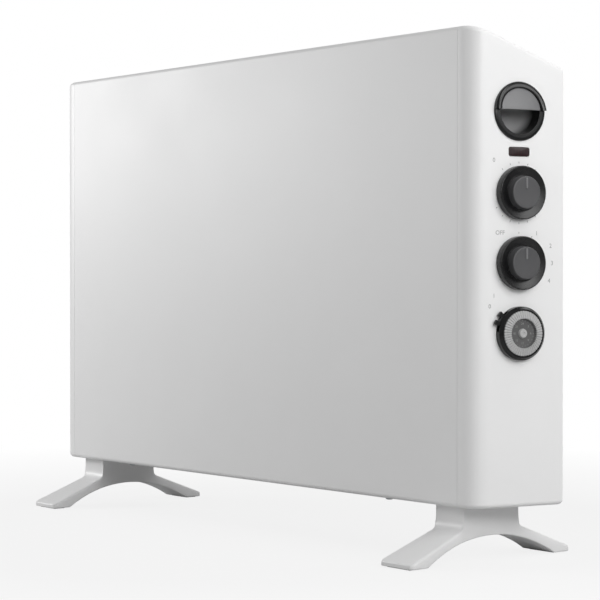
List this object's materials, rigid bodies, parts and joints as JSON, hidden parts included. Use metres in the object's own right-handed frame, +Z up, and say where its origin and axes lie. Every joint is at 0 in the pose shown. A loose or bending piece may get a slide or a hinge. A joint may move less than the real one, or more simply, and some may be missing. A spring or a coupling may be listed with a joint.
{
  "type": "convector heater",
  "caption": "Slim white panel convector heater on two arched feet, with carry handles in its ends, and a pilot lamp, two rotary knobs and a day timer on the right end.",
  "frame": {"origin": "on the floor, midway between the two feet", "axes": "+X along the heater to the end with the controls, -Y out of the front panel, +Z up"},
  "size_m": [0.674, 0.188, 0.4483],
  "materials": {
    "white_enamel": "satin white powder coat",
    "white_moulding": "fine satin white moulding",
    "foot_moulding": "satin white moulding",
    "black_moulding": "satin black moulding",
    "charcoal_moulding": "satin charcoal moulding",
    "timer_grey": "satin grey moulding",
    "red_lens": "clear dark red lens",
    "zinc_steel": "zinc-plated steel",
    "bright_sheet": "bright aluminised sheet",
    "fin_aluminium": "extruded",
    "bush_ceramic": "unglazed steatite",
    "control_casing": "moulded phenolic",
    "wire_jacket": "silicone wire jacket",
    "foot_rubber": "matt rubber"
  },
  "bodies": {
    "case": {"front_panel": "white_enamel", "rear_panel": "white_enamel", "base_plate": "white_enamel", "top_grille": "white_enamel", "right_end_cap": "white_moulding", "left_end_cap": "white_moulding", "right_handle_cup": "black_moulding", "right_handle_hood": "charcoal_moulding", "left_handle_cup": "black_moulding", "left_handle_hood": "charcoal_moulding", "pilot_lamp_lens": "red_lens", "pilot_lamp_body": "control_casing", "thermostat_body": "control_casing", "selector_body": "control_casing", "control_nuts": "zinc_steel", "timer_bezel": "black_moulding", "timer_mechanism": "control_casing", "timer_screws": "zinc_steel", "heating_element": "fin_aluminium", "element_rods": "zinc_steel", "element_bushes": "bush_ceramic", "right_chassis_plate": "zinc_steel", "left_chassis_plate": "zinc_steel", "heat_shield": "bright_sheet", "thermal_cutout": "control_casing", "terminal_block": "control_casing", "cord_gland": "black_moulding", "wiring": "wire_jacket", "right_foot": "foot_moulding", "left_foot": "foot_moulding", "foot_pads": "foot_rubber", "foot_screws": "zinc_steel", "rear_panel_screws": "zinc_steel", "base_screws": "zinc_steel"},
    "thermostat_dial": {"thermostat_knob": "charcoal_moulding", "thermostat_spindle": "zinc_steel"},
    "selector_dial": {"selector_knob": "charcoal_moulding", "selector_spindle": "zinc_steel"},
    "timer_wheel": {"timer_dial": "charcoal_moulding", "timer_tabs": "timer_grey", "timer_spindle": "zinc_steel"},
    "timer_override": {"timer_lever": "black_moulding"}
  },
  "joints": [
    {"name": "thermostat_turn", "type": "hinge", "parent": "case", "child": "thermostat_dial", "pos_m": [0.32425, 0, 0.3103], "axis": [-0.9781, 0.2079, 0], "range_deg": [-40, 240]},
    {"name": "selector_turn", "type": "hinge", "parent": "case", "child": "selector_dial", "pos_m": [0.32425, 0, 0.2519], "axis": [-0.9781, 0.2079, 0], "range_deg": [0, 120]},
    {"name": "timer_turn", "type": "hinge", "parent": "case", "child": "timer_wheel", "pos_m": [0.32425, 0, 0.1935], "axis": [-0.9781, 0.2079, 0], "continuous": true},
    {"name": "timer_override_turn", "type": "hinge", "parent": "case", "child": "timer_override", "pos_m": [0.32425, 0, 0.1935], "axis": [-0.9781, 0.2079, 0], "range_deg": [-12, 12]}
  ]
}
